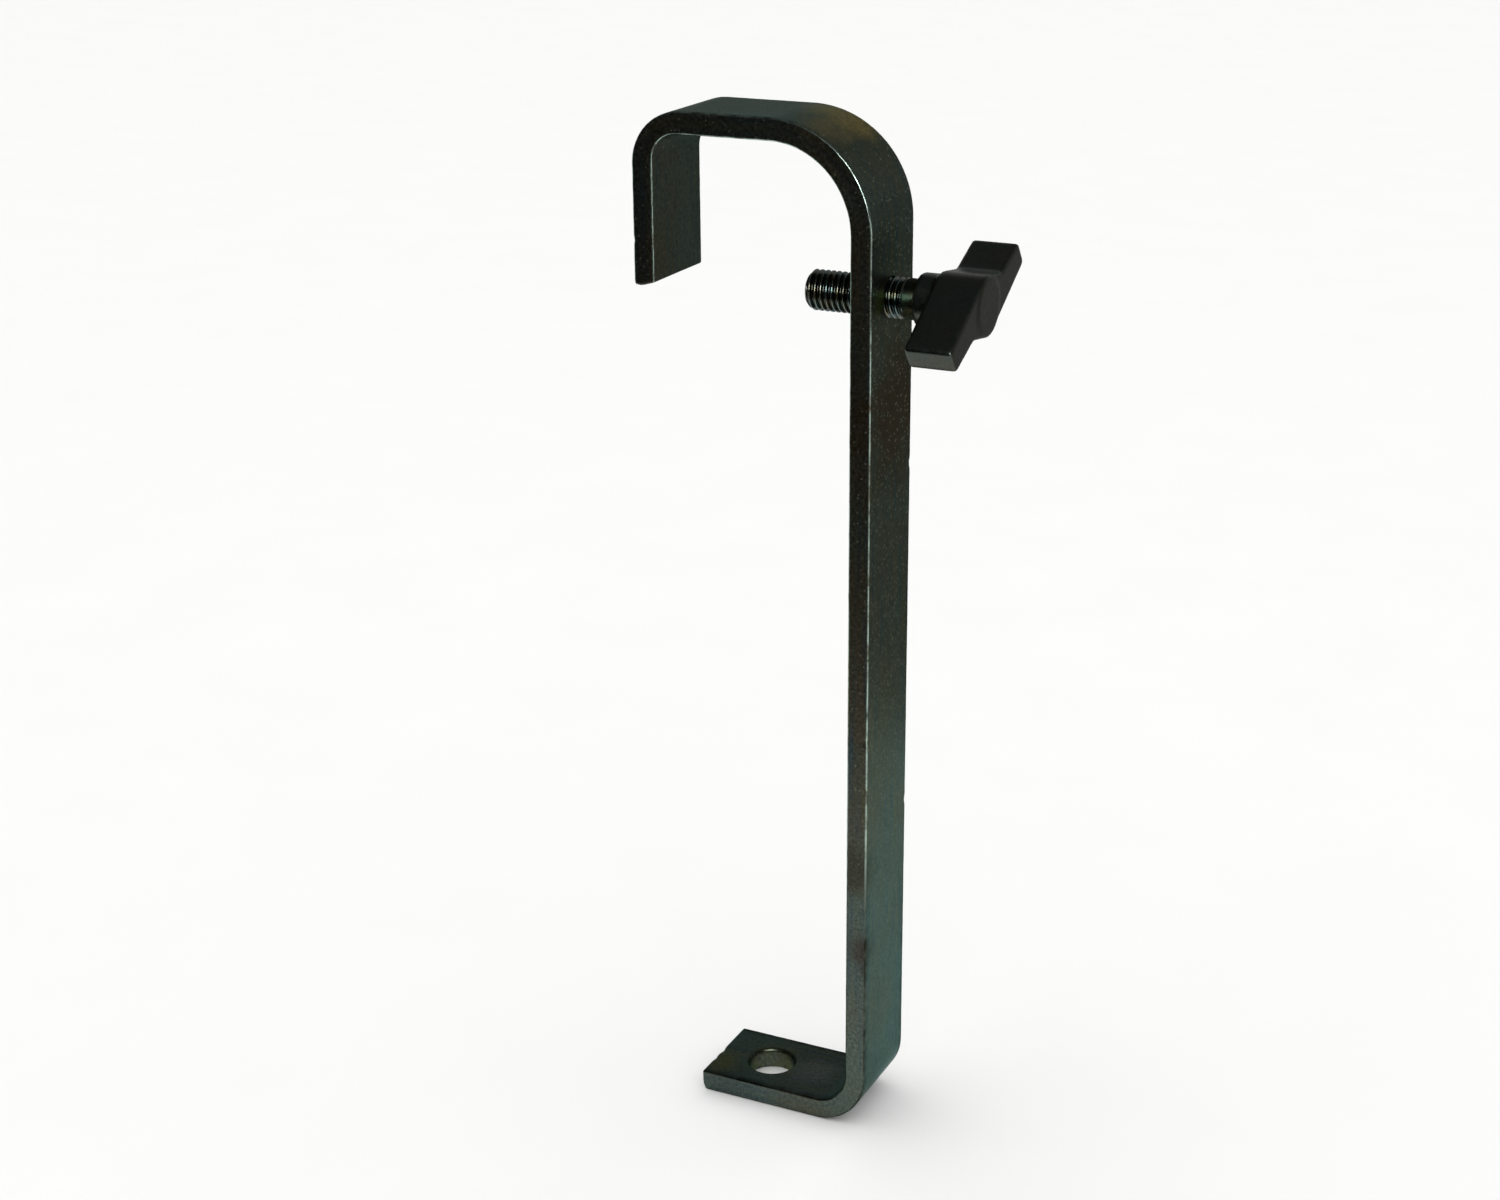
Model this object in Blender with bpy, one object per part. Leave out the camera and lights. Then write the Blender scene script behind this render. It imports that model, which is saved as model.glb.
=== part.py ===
"""Drop hook clamp: a bent flat-steel hook with a long drop bar and a drilled foot, and a wing screw that
runs through the bar and pins an overhead tube in the hook.

Three pieces: hook_strap, clamp_screw and wing_head. The frame is in metres, +Z up. The origin is in the
middle of the flat underside of the hook's top, where the tube bears. The drop bar is on the +X side, the
hook opens downwards, and the foot points back under the hook, towards -X.
"""

import math

import bmesh
import bpy
from mathutils import Matrix, Vector

MM = 0.001
CLEARANCE = 0.3 * MM  # gap kept between pieces that touch

# Flat bar, bent cold into a hook, a straight drop and a foot
STRAP_WIDTH = 30.0 * MM
STRAP_THICKNESS = 6.5 * MM
STRAP_ARRIS = 0.6 * MM
TOTAL_HEIGHT = 311.0 * MM
HOOK_DEPTH = 74.2 * MM
NOSE_LENGTH = 49.3 * MM  # on the inner face
NOSE_LEAN = 1.5 * MM  # how much longer the sheared nose is on its outer face
FOOT_LENGTH = 56.2 * MM
HOOK_RADII = (24.5 * MM, 31.1 * MM)  # inner face, outer face: the bar thins a little at each bend
NOSE_RADII = (7.7 * MM, 15.9 * MM)
FOOT_RADII = (10.4 * MM, 17.2 * MM)

# Fixing hole, punched down through the foot
HOLE_FROM_BAR_FACE = 38.7 * MM
HOLE_RADIUS = 7.3 * MM
HOLE_ROLLOVER = 0.6 * MM

# Clamp screw: M12 with a coarse right-hand thread
SCREW_BELOW_TOP = 50.2 * MM
SCREW_LEAD = 1.75 * MM
SCREW_CREST_RADIUS = 5.85 * MM
SCREW_ROOT_RADIUS = 5.05 * MM
SCREW_POINT_REACH = 25.0 * MM  # from the bar's outer face to the point
SCREW_POINT_CHAMFER = 1.3 * MM
THREAD_END = 5.3 * MM  # outside the bar's outer face
THREAD_LENGTH = SCREW_POINT_REACH + THREAD_END
SOCKET_END = 23.5 * MM
TURN_STEPS = 24
LEAD_STEPS = 4

# Wing head, cast on to the outer end of the screw
COLLAR_START = 8.6 * MM
ARMS_START = 14.7 * MM
ARMS_END = 28.7 * MM
BOSS_HEIGHT = 0.4 * MM
COLLAR_EDGE = 0.5 * MM
COLLAR_RADIUS = 7.8 * MM
HUB_RADIUS = 8.8 * MM
HUB_SIDE_ANGLE = math.radians(30)  # where the hub leaves its crest towards the other arm
ARM_RISE = math.radians(10.2)  # slope of an arm's long face, from its tip up to the hub
ARM_TIP_LONG = (28.4 * MM, 4.0 * MM)
ARM_TIP_SHORT = (26.5 * MM, 3.8 * MM)
ARM_ROOT_HEIGHT = 3.1 * MM
ROOT_RADIUS = 4.0 * MM
TIP_CORNER = 1.3 * MM
CASTING_EDGE = 1.1 * MM
WING_TILT = math.radians(22.3)

# Places that follow from those sizes
NOSE_INNER_FROM_BAR = HOOK_DEPTH - STRAP_THICKNESS - NOSE_RADII[0]
HOOK_INNER_FROM_BAR = STRAP_THICKNESS + HOOK_RADII[0]
BAR_FACE_X = (NOSE_INNER_FROM_BAR + HOOK_INNER_FROM_BAR) / 2
TOP_Z = STRAP_THICKNESS
FOOT_Z = TOP_Z - TOTAL_HEIGHT
SCREW_Z = TOP_Z - SCREW_BELOW_TOP
POINT_X = BAR_FACE_X - SCREW_POINT_REACH


def clear_scene():
    for old in list(bpy.data.objects):
        bpy.data.objects.remove(old, do_unlink=True)


def metal(name, colour, roughness):
    material = bpy.data.materials.new(name)
    material.use_nodes = True
    shader = material.node_tree.nodes["Principled BSDF"]
    shader.inputs["Base Color"].default_value = (*colour, 1.0)
    shader.inputs["Metallic"].default_value = 1.0
    shader.inputs["Roughness"].default_value = roughness
    material.diffuse_color = (*colour, 1.0)
    return material


def mesh_object(name, bm, material=None, location=(0, 0, 0)):
    """A new object with this bmesh as its mesh, shaded smooth except at real edges."""
    bmesh.ops.recalc_face_normals(bm, faces=bm.faces)
    mesh = bpy.data.meshes.new(name)
    bm.to_mesh(mesh)
    bm.free()
    mesh.shade_smooth()
    mesh.set_sharp_from_angle(angle=math.radians(35))
    obj = bpy.data.objects.new(name, mesh)
    obj.location = location
    bpy.context.scene.collection.objects.link(obj)
    if material:
        mesh.materials.append(material)
    return obj


def helper(obj):
    """Keeps a cutter or a tool body out of the finished part."""
    obj.hide_render = True
    obj.display_type = "WIRE"
    return obj


def combine(obj, operation, other):
    modifier = obj.modifiers.new(f"{operation.title()} {other.name}", "BOOLEAN")
    modifier.operation = operation
    modifier.solver = "EXACT"
    modifier.object = helper(other)


def rounded_outline(corners, step):
    """Points of a closed outline with a (x, y, radius) corner list; each round corner is an arc."""
    points = []
    for index, (x, y, radius) in enumerate(corners):
        here = Vector((x, y))
        before = (Vector(corners[index - 1][:2]) - here).normalized()
        after = (Vector(corners[(index + 1) % len(corners)][:2]) - here).normalized()
        if radius == 0:
            points.append(here)
            continue
        half = before.angle(after) / 2
        centre = here + (before + after).normalized() * radius / math.sin(half)
        first = here + before * radius / math.tan(half) - centre
        last = here + after * radius / math.tan(half) - centre
        swing = first.angle_signed(last)
        count = max(2, math.ceil(abs(swing) / step))
        for k in range(count + 1):
            turn = -swing * k / count
            points.append(centre + Matrix.Rotation(turn, 2) @ first)
    return points


def turned(profile, steps):
    """A closed solid of revolution about X from (x, radius) points that start and end on the axis."""
    bm = bmesh.new()
    verts = [bm.verts.new((x, 0, radius)) for x, radius in profile]
    edges = [bm.edges.new(pair) for pair in zip(verts, verts[1:])]
    bmesh.ops.spin(
        bm,
        geom=verts + edges,
        axis=(1, 0, 0),
        cent=(0, 0, 0),
        steps=steps,
        angle=math.tau,
        use_merge=True,
    )
    bmesh.ops.remove_doubles(bm, verts=bm.verts, dist=1e-6)
    return bm


def on_screw_axis(x):
    return (BAR_FACE_X + x, 0, SCREW_Z)


def strap_outline():
    """Side view of the bent bar, from the foot's end, round the outer face to the nose, and back inside."""
    foot_end = BAR_FACE_X - FOOT_LENGTH
    nose_out = BAR_FACE_X - HOOK_DEPTH
    nose_in = nose_out + STRAP_THICKNESS
    nose_end = TOP_Z - NOSE_LENGTH
    bar_in = BAR_FACE_X - STRAP_THICKNESS
    foot_top = FOOT_Z + STRAP_THICKNESS
    corners = [
        (foot_end, FOOT_Z, 0),
        (BAR_FACE_X, FOOT_Z, FOOT_RADII[1]),
        (BAR_FACE_X, TOP_Z, HOOK_RADII[1]),
        (nose_out, TOP_Z, NOSE_RADII[1]),
        (nose_out, nose_end - NOSE_LEAN, 0),
        (nose_in, nose_end, 0),
        (nose_in, 0, NOSE_RADII[0]),
        (bar_in, 0, HOOK_RADII[0]),
        (bar_in, foot_top, FOOT_RADII[0]),
        (foot_end, foot_top, 0),
    ]
    return rounded_outline(corners, math.radians(6))


def hook_strap():
    """The flat bar bent to shape, its arrises eased, with the screw's hole and the fixing hole through it."""
    bm = bmesh.new()
    half = STRAP_WIDTH / 2
    face = bm.faces.new([bm.verts.new((x, -half, z)) for x, z in strap_outline()])
    swept = bmesh.ops.extrude_face_region(bm, geom=[face])["geom"]
    moved = [item for item in swept if isinstance(item, bmesh.types.BMVert)]
    bmesh.ops.translate(bm, verts=moved, vec=(0, STRAP_WIDTH, 0))
    steel = metal("zinc plated bar steel", (0.055, 0.062, 0.052), 0.42)
    strap = mesh_object("hook_strap", bm, steel)
    bevel = strap.modifiers.new("Eased arrises", "BEVEL")
    bevel.width = STRAP_ARRIS
    bevel.segments = 2
    bevel.limit_method = "ANGLE"
    bevel.angle_limit = math.radians(40)

    reach = STRAP_THICKNESS
    radius = SCREW_CREST_RADIUS + CLEARANCE
    bore = turned([(-2 * reach, 0), (-2 * reach, radius), (reach, radius), (reach, 0)], 32)
    combine(strap, "DIFFERENCE", mesh_object("screw_hole", bore, location=on_screw_axis(0)))

    flare = HOLE_RADIUS + HOLE_ROLLOVER
    punch = turned(
        [
            (-reach, 0),
            (-reach, HOLE_RADIUS),
            (reach - HOLE_ROLLOVER, HOLE_RADIUS),
            (reach, flare),
            (2 * reach, flare),
            (2 * reach, 0),
        ],
        40,
    )
    fixing_hole = mesh_object("fixing_hole", punch)
    fixing_hole.location = (BAR_FACE_X - HOLE_FROM_BAR_FACE, 0, FOOT_Z)
    fixing_hole.rotation_euler = (0, -math.pi / 2, 0)
    combine(strap, "DIFFERENCE", fixing_hole)
    return strap


def thread_radius(x, phase):
    """Screw radius at x from the point: a thread that starts in the point's chamfer and runs out at its end."""
    flank = abs(2 * (phase % 1.0) - 1)
    depth = SCREW_CREST_RADIUS - SCREW_ROOT_RADIUS
    run_out = min(1.0, max(0.0, (x - (THREAD_LENGTH - SCREW_LEAD)) / SCREW_LEAD))
    radius = SCREW_CREST_RADIUS - depth * flank * (1 - run_out)
    return min(radius, SCREW_CREST_RADIUS - SCREW_POINT_CHAMFER + x)


def clamp_screw():
    """The screw: rows of the mesh follow the helix, so that its crests and roots are true edges."""
    bm = bmesh.new()
    rows = math.ceil(THREAD_LENGTH / SCREW_LEAD) * LEAD_STEPS + LEAD_STEPS
    columns = []
    for column in range(TURN_STEPS):
        turn = column / TURN_STEPS
        angle = turn * math.tau
        ring = []
        for row in range(rows + LEAD_STEPS + 1):
            along = SCREW_LEAD * (turn - 1 + row / LEAD_STEPS)
            x = min(max(along, 0.0), THREAD_LENGTH)
            radius = thread_radius(x, row / LEAD_STEPS)
            ring.append(bm.verts.new((x, radius * math.cos(angle), radius * math.sin(angle))))
        columns.append(ring)

    def at(column, row):
        """A full turn along the helix comes back to the first column, one lead further on."""
        wrapped = column % TURN_STEPS
        return columns[wrapped][row + LEAD_STEPS * (column // TURN_STEPS)]

    for column in range(TURN_STEPS):
        for row in range(rows):
            corners = [at(column, row), at(column + 1, row), at(column + 1, row + 1), at(column, row + 1)]
            bm.faces.new(corners)
    bmesh.ops.remove_doubles(bm, verts=bm.verts, dist=2e-6)
    loose = [vert for vert in bm.verts if not vert.link_faces]
    bmesh.ops.delete(bm, geom=loose, context="VERTS")

    shank_end = SCREW_POINT_REACH + SOCKET_END
    outer = [edge for edge in bm.edges if edge.is_boundary and edge.verts[0].co.x > THREAD_LENGTH / 2]
    inner = [edge for edge in bm.edges if edge.is_boundary and edge not in outer]
    grown = bmesh.ops.extrude_edge_only(bm, edges=outer)["geom"]
    moved = [item for item in grown if isinstance(item, bmesh.types.BMVert)]
    bmesh.ops.translate(bm, verts=moved, vec=(shank_end - THREAD_LENGTH, 0, 0))
    end = [edge for edge in grown if isinstance(edge, bmesh.types.BMEdge) and edge.is_boundary]
    bmesh.ops.contextual_create(bm, geom=end)
    bmesh.ops.contextual_create(bm, geom=inner)
    steel = metal("bright zinc plated steel", (0.30, 0.31, 0.29), 0.28)
    screw = mesh_object("clamp_screw", bm, steel, on_screw_axis(-SCREW_POINT_REACH))
    return screw


def wing_outline():
    """The wing seen along the screw: two arms, each with its long face touching the hub on one side, and
    the same outline again after half a turn."""
    rise = Vector((math.cos(ARM_RISE), math.sin(ARM_RISE)))
    tip_long = Vector((-ARM_TIP_LONG[0], ARM_TIP_LONG[1]))
    side = Vector((math.cos(HUB_SIDE_ANGLE), -math.sin(HUB_SIDE_ANGLE)))
    touch = Vector((math.sin(HUB_SIDE_ANGLE), math.cos(HUB_SIDE_ANGLE))) * HUB_RADIUS
    # the crest is where the long face's line meets the hub's other tangent
    gap = touch - tip_long
    reach = (gap.x * side.y - gap.y * side.x) / (rise.x * side.y - rise.y * side.x)
    crest = tip_long + rise * reach
    drop = (touch.y - ARM_ROOT_HEIGHT) / math.sin(HUB_SIDE_ANGLE)
    root = touch + side * drop
    half = [
        (tip_long.x, tip_long.y, TIP_CORNER),
        (crest.x, crest.y, HUB_RADIUS),
        (root.x, root.y, ROOT_RADIUS),
        (ARM_TIP_SHORT[0], ARM_TIP_SHORT[1], TIP_CORNER),
    ]
    whole = half + [(-x, -y, radius) for x, y, radius in half]
    return rounded_outline(whole, math.radians(11))


def wing_head():
    """The casting: two arms and a hub, a collar towards the bar, and a blind socket for the screw."""
    bm = bmesh.new()
    tilt = Matrix.Rotation(WING_TILT, 2)
    face = bm.faces.new([bm.verts.new((0, *(tilt @ point))) for point in wing_outline()])
    swept = bmesh.ops.extrude_face_region(bm, geom=[face])["geom"]
    moved = [item for item in swept if isinstance(item, bmesh.types.BMVert)]
    bmesh.ops.translate(bm, verts=moved, vec=(ARMS_END - ARMS_START, 0, 0))
    casting = metal("die cast metal", (0.03, 0.032, 0.03), 0.4)
    head = mesh_object("wing_head", bm, casting, on_screw_axis(ARMS_START))
    bevel = head.modifiers.new("Cast edges", "BEVEL")
    bevel.width = CASTING_EDGE
    bevel.segments = 3
    bevel.limit_method = "ANGLE"
    bevel.angle_limit = math.radians(60)

    length = ARMS_END + BOSS_HEIGHT - COLLAR_START
    step = ARMS_START - COLLAR_START + CASTING_EDGE
    ease = COLLAR_EDGE
    barrel = turned(
        [
            (0, 0),
            (0, COLLAR_RADIUS - ease),
            (ease, COLLAR_RADIUS),
            (step, COLLAR_RADIUS),
            (step, HUB_RADIUS - ease),
            (length - ease, HUB_RADIUS - ease),
            (length, HUB_RADIUS - 2 * ease),
            (length, 0),
        ],
        40,
    )
    combine(head, "UNION", mesh_object("collar_and_boss", barrel, location=on_screw_axis(COLLAR_START)))

    depth = SOCKET_END + CLEARANCE - COLLAR_START
    radius = SCREW_CREST_RADIUS + CLEARANCE
    bore = turned([(-depth, 0), (-depth, radius), (depth, radius), (depth, 0)], 32)
    combine(head, "DIFFERENCE", mesh_object("screw_socket", bore, location=on_screw_axis(COLLAR_START)))
    return head


clear_scene()
hook_strap()
clamp_screw()
wing_head()
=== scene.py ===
"""Looks of a drop hook clamp: the bent flat bar, the threaded screw through it and the cast wing head.

Everything is in metres, +Z up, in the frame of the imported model: the origin is where the tube bears under
the hook, the drop bar is on the +X side, and the foot's underside is the lowest face.
"""

import math

import bmesh
import bpy
import numpy as np
from mathutils import Matrix, Vector, noise


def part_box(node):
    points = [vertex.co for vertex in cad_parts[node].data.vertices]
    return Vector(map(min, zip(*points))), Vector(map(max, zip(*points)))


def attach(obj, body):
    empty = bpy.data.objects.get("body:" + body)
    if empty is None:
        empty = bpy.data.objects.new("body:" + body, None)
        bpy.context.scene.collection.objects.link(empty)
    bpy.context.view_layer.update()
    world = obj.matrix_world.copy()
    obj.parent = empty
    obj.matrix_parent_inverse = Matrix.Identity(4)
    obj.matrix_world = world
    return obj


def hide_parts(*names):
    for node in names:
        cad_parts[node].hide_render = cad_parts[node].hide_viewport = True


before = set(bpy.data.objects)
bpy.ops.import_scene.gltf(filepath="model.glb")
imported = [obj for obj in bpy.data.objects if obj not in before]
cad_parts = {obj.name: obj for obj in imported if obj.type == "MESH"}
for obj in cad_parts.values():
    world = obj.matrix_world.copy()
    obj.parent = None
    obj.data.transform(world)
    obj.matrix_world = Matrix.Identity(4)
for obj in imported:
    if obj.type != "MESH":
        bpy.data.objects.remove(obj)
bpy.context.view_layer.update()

# Tabletop: a sheet of matt white laminate far larger than the view, with the foot standing on it.
# Its roughness and faint mottle keep it an even, shadowless white.
MM = 0.001
TABLE_REACH = 14.0
TABLE_GAP = 0.1 * MM


def linear(hex_colour):
    """An sRGB hex colour as linear RGBA."""
    channels = [int(hex_colour[i : i + 2], 16) / 255 for i in (1, 3, 5)]
    return (*(c / 12.92 if c <= 0.04045 else ((c + 0.055) / 1.055) ** 2.4 for c in channels), 1.0)


def node(tree, kind, inputs, **settings):
    """A new node with its settings. An input takes a constant, a socket, or another node's first output."""
    made = tree.nodes.new(kind)
    for key, value in settings.items():
        setattr(made, key, value)
    for key, value in inputs.items():
        named = [socket for socket in made.inputs if socket.enabled and socket.name == key]
        socket = made.inputs[key] if isinstance(key, int) else named[0]
        if isinstance(value, bpy.types.Node):
            value = next(output for output in value.outputs if output.enabled)
        if isinstance(value, bpy.types.NodeSocket):
            tree.links.new(value, socket)
        else:
            socket.default_value = value
    return made


def finish(name):
    """A new material, with its node tree and its shader."""
    made = bpy.data.materials.new(name)
    made.use_nodes = True
    return made, made.node_tree, made.node_tree.nodes["Principled BSDF"]


def mesh_object(name, bm, material):
    """A smooth-shaded object from this bmesh, with its faces turned out."""
    bmesh.ops.recalc_face_normals(bm, faces=bm.faces)
    mesh = bpy.data.meshes.new(name)
    bm.to_mesh(mesh)
    bm.free()
    mesh.materials.append(material)
    mesh.shade_smooth()
    made = bpy.data.objects.new(name, mesh)
    bpy.context.scene.collection.objects.link(made)
    return made


bar_low, bar_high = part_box("hook_strap")
laminate, tree, shader = finish("matt_white_laminate")
place = node(tree, "ShaderNodeTexCoord", {})
mottle = node(tree, "ShaderNodeTexNoise", {"Vector": place.outputs["Object"], "Scale": 1 / (60 * MM)})
pale, paler = linear("#f2f2f1"), linear("#f5f5f4")
tone = node(tree, "ShaderNodeMix", {0: mottle, 6: pale, 7: paler}, data_type="RGBA")
tree.links.new(tone.outputs[2], shader.inputs["Base Color"])
shader.inputs["Roughness"].default_value = 0.7
bm = bmesh.new()
bmesh.ops.create_grid(bm, x_segments=8, y_segments=8, size=TABLE_REACH)
tabletop = mesh_object("tabletop", bm, laminate)
tabletop.location.z = bar_low.z - TABLE_GAP

# Studio: a soft overhead light for the table, a dim room, and three cards that only the metal reflects:
# dark flags in front and behind, and a bright card to the right for the arrises and the screw's crests.
scene = bpy.context.scene
scene.view_settings.view_transform = "Standard"
world = bpy.data.worlds.new("dim_room")
world.use_nodes = True
scene.world = world
tree = world.node_tree
way = node(tree, "ShaderNodeTexCoord", {})
split = node(tree, "ShaderNodeSeparateXYZ", {"Vector": way.outputs["Generated"]})
far_wall = node(
    tree,
    "ShaderNodeMapRange",
    {"Value": split.outputs["Y"], "From Min": 0.0, "From Max": 0.6, "To Min": 0.02, "To Max": 0.36},
)
upward = node(tree, "ShaderNodeMapRange", {"Value": split.outputs["Z"], "From Min": 0.3, "From Max": 0.8})
room = node(tree, "ShaderNodeMix", {0: upward, 2: far_wall, 3: 0.09}, data_type="FLOAT")
ray = node(tree, "ShaderNodeLightPath", {})
seen = node(tree, "ShaderNodeMix", {0: ray.outputs["Is Camera Ray"], 2: room, 3: 0.93}, data_type="FLOAT")
tree.links.new(seen.outputs[0], tree.nodes["Background"].inputs["Strength"])
tree.nodes["Background"].inputs["Color"].default_value = (1, 1, 1, 1)

lamp = bpy.data.lights.new("overhead_soft_light", "SUN")
lamp.angle = math.radians(140)
lamp.energy = 3.2
overhead_light = bpy.data.objects.new("overhead_soft_light", lamp)
overhead_light.visible_glossy = False
scene.collection.objects.link(overhead_light)


def card(name, centre, size, facing, glow):
    """A card that only reflections see: its centre, (width, height), the point it faces, its brightness."""
    paint = bpy.data.materials.new(name)
    paint.use_nodes = True
    paint.node_tree.nodes.clear()
    light = node(paint.node_tree, "ShaderNodeEmission", {"Strength": glow})
    node(paint.node_tree, "ShaderNodeOutputMaterial", {"Surface": light})
    bm = bmesh.new()
    bmesh.ops.create_grid(bm, x_segments=1, y_segments=1, size=0.5)
    bmesh.ops.scale(bm, vec=(size[0], size[1], 1), verts=bm.verts)
    made = mesh_object(name, bm, paint)
    made.location = centre
    made.rotation_euler = (Vector(facing) - Vector(centre)).to_track_quat("Z", "Y").to_euler()
    made.visible_camera = made.visible_diffuse = made.visible_shadow = False


screw_low, screw_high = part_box("clamp_screw")
screw_z = (screw_low.z + screw_high.z) / 2
FLAG_SIZE = (1.5, 0.31)
card("front_flag", (-0.45, -0.26, -0.15), FLAG_SIZE, (-0.45, 0, -0.15), 0.015)
card("rear_flag", (0.35, 0.28, -0.15), FLAG_SIZE, (0.35, 0, -0.15), 0.27)
card("right_card", (0.50, -0.70, 0.29), (0.30, 0.42), (bar_high.x, 0, screw_z), 26.0)

VIEW_AZIMUTH = math.radians(26.23)
VIEW_ELEVATION = math.radians(20.03)
VIEW_ROLL = math.radians(-0.47)
VIEW_DISTANCE = 0.7386
VIEW_AIM = (0.0002, 0.0, -0.141)
camera = bpy.data.objects.new("camera", bpy.data.cameras.new("camera"))
camera.data.sensor_width = 36.0
camera.data.lens = 58.8
camera.data.clip_start = 0.01
camera.matrix_world = (
    Matrix.Translation(VIEW_AIM)
    @ Matrix.Rotation(VIEW_AZIMUTH, 4, "Z")
    @ Matrix.Rotation(math.pi / 2 - VIEW_ELEVATION, 4, "X")
    @ Matrix.Translation((0, 0, VIEW_DISTANCE))
    @ Matrix.Rotation(VIEW_ROLL, 4, "Z")
)
scene.collection.objects.link(camera)
scene.camera = camera

# Hook strap: one length of 30 x 6.5 mm flat steel bar, sheared off, punched and tapped, then bent cold
# round three formers and zinc plated. It thins on the outside of each bend and swells at the inner edges.
BAR_THICKNESS = 6.5 * MM
BAR_ARRIS = 0.6 * MM
LEAST_ARRIS = 0.04 * MM  # left where a ring shrinks towards the middle of a sheared end
NOSE_LENGTH = 49.3 * MM
FOOT_LENGTH = 56.2 * MM
NOSE_RADII = (7.7 * MM, 15.9 * MM)  # inner face, outer face
HOOK_RADII = (24.5 * MM, 31.1 * MM)
FOOT_RADII = (10.4 * MM, 17.2 * MM)
BEND_SWELL = 0.35 * MM
SHEAR_ROUND = 0.5 * MM
SHEAR_SEAM = 0.15 * MM  # half the thickness of the last ring on a sheared end
SHEAR_SEAM_STEPS = 3
SHEAR_DRAW = 1.3 * MM  # rounding that the shears leave at the outer face
SHEAR_DRAW_REACH = 4.0 * MM
NOSE_LEAN = 1.9 * MM  # how much longer the nose is at its outer face
LEG_STEPS = (40, 34, 262, 44)
BEND_STEPS = (24, 44, 24)
ACROSS_STEPS = 30
EDGE_STEPS = 4
ARRIS_STEPS = 6
END_STEPS = 5


def side_line(deep, radii):
    """One broad face of the bar from the side, nose to foot: (spot in XZ, bend share 0 to 1)."""
    left, right = bar_low.x + deep, bar_high.x - deep
    top, bottom = bar_high.z - deep, bar_low.z + deep
    nose_tip = Vector((left, bar_high.z - NOSE_LENGTH))
    foot_end = Vector((bar_high.x - FOOT_LENGTH, bottom))
    spots = [nose_tip, Vector((left, top)), Vector((right, top)), Vector((right, bottom)), foot_end]
    line = []
    start = spots[0]
    for leg, (here, steps) in enumerate(zip(spots[1:], LEG_STEPS)):
        way = (here - start).normalized()
        stop = here - way * radii[leg] if leg < len(radii) else here
        line += [(start.lerp(stop, k / steps), 0.0) for k in range(steps)]
        if leg == len(radii):
            return line + [(stop, 0.0)]
        onward = (spots[leg + 2] - here).normalized()
        centre = stop + onward * radii[leg]
        for k in range(BEND_STEPS[leg]):
            angle = math.pi / 2 * k / BEND_STEPS[leg]
            spot = centre + (way * math.sin(angle) - onward * math.cos(angle)) * radii[leg]
            line.append((spot, math.sin(2 * angle)))
        start = here + onward * radii[leg]


def bar_section(inset, swell):
    """The bar's section, as (across, depth, arris) points, with depth from the inner face to the outer."""
    radius = max(BAR_ARRIS - inset, LEAST_ARRIS)
    half, low, high = bar_high.y - inset, inset, BAR_THICKNESS - inset
    upper, lower = high - radius, low + radius
    corners = ((1, upper, 0), (-1, upper, 90), (-1, lower, 180), (1, lower, 270))
    points = []
    for side, centre, first in corners:
        for k in range(ARRIS_STEPS + 1):
            angle = math.radians(first + 90 * k / ARRIS_STEPS)
            across = side * (half - radius) + radius * math.cos(angle)
            arris = math.sin(math.pi * k / ARRIS_STEPS)
            points.append((across, centre + radius * math.sin(angle), arris))
        steps = ACROSS_STEPS if first in (0, 180) else EDGE_STEPS
        across, depth, _ = points[-1]
        if first in (0, 180):
            points += [(across - 2 * across * k / steps, depth, 0.0) for k in range(1, steps)]
        else:
            far = lower if first == 90 else upper
            points += [(across, depth + (far - depth) * k / steps, 0.0) for k in range(1, steps)]
    middle = BAR_THICKNESS / 2
    return [(a + math.copysign(swell * (1 - d / middle), a), d, arris) for a, d, arris in points]


inner_line = side_line(BAR_THICKNESS, [pair[0] for pair in (NOSE_RADII, HOOK_RADII, FOOT_RADII)])
outer_line = side_line(0.0, [pair[1] for pair in (NOSE_RADII, HOOK_RADII, FOOT_RADII)])


def bar_ring(station, inset=0.0, past=0.0):
    """One ring of points round the bar at a station: (x, y, z, along, across, depth, arris)."""
    (inner, bend), (outer, _) = inner_line[station], outer_line[station]
    along = reach[station]
    ahead = outer_line[min(station + 1, len(outer_line) - 1)][0] - outer_line[max(station - 1, 0)][0]
    shift = ahead.normalized() * past
    ring = []
    for across, depth, arris in bar_section(inset, BEND_SWELL * bend):
        spot = inner.lerp(outer, depth / BAR_THICKNESS) + shift
        ring.append(np.array((spot.x, across, spot.y, along + past, across, depth, arris)))
    return ring


middle_line = [inner.lerp(outer, 0.5) for (inner, _), (outer, _) in zip(inner_line, outer_line)]
steps = [0.0] + [(b - a).length for a, b in zip(middle_line, middle_line[1:])]
reach = np.cumsum(steps)


def sheared_end(station, outward):
    """Rings that round off a sheared end, from the full section to the small flat in its middle."""
    rings = []
    for k in range(1, END_STEPS + 1):
        angle = math.pi / 2 * k / END_STEPS
        rings.append((SHEAR_ROUND * (1 - math.cos(angle)), -SHEAR_ROUND * (1 - math.sin(angle))))
    further = BAR_THICKNESS / 2 - SHEAR_SEAM - SHEAR_ROUND
    for k in range(1, SHEAR_SEAM_STEPS + 1):
        rings.append((SHEAR_ROUND + further * k / SHEAR_SEAM_STEPS, 0.0))
    return [bar_ring(station, inset, outward * past) for inset, past in rings]


last = len(outer_line) - 1
first_full = next(s for s in range(last) if reach[s] >= SHEAR_ROUND)
last_full = next(s for s in range(last, 0, -1) if reach[last] - reach[s] >= SHEAR_ROUND)
rings = sheared_end(0, -1)[::-1]
rings += [bar_ring(station) for station in range(first_full, last_full + 1)]
rings += sheared_end(last, 1)

bm = bmesh.new()
bar_layer = bm.verts.layers.float_vector.new("bar")
arris_layer = bm.verts.layers.float.new("arris")


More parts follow.
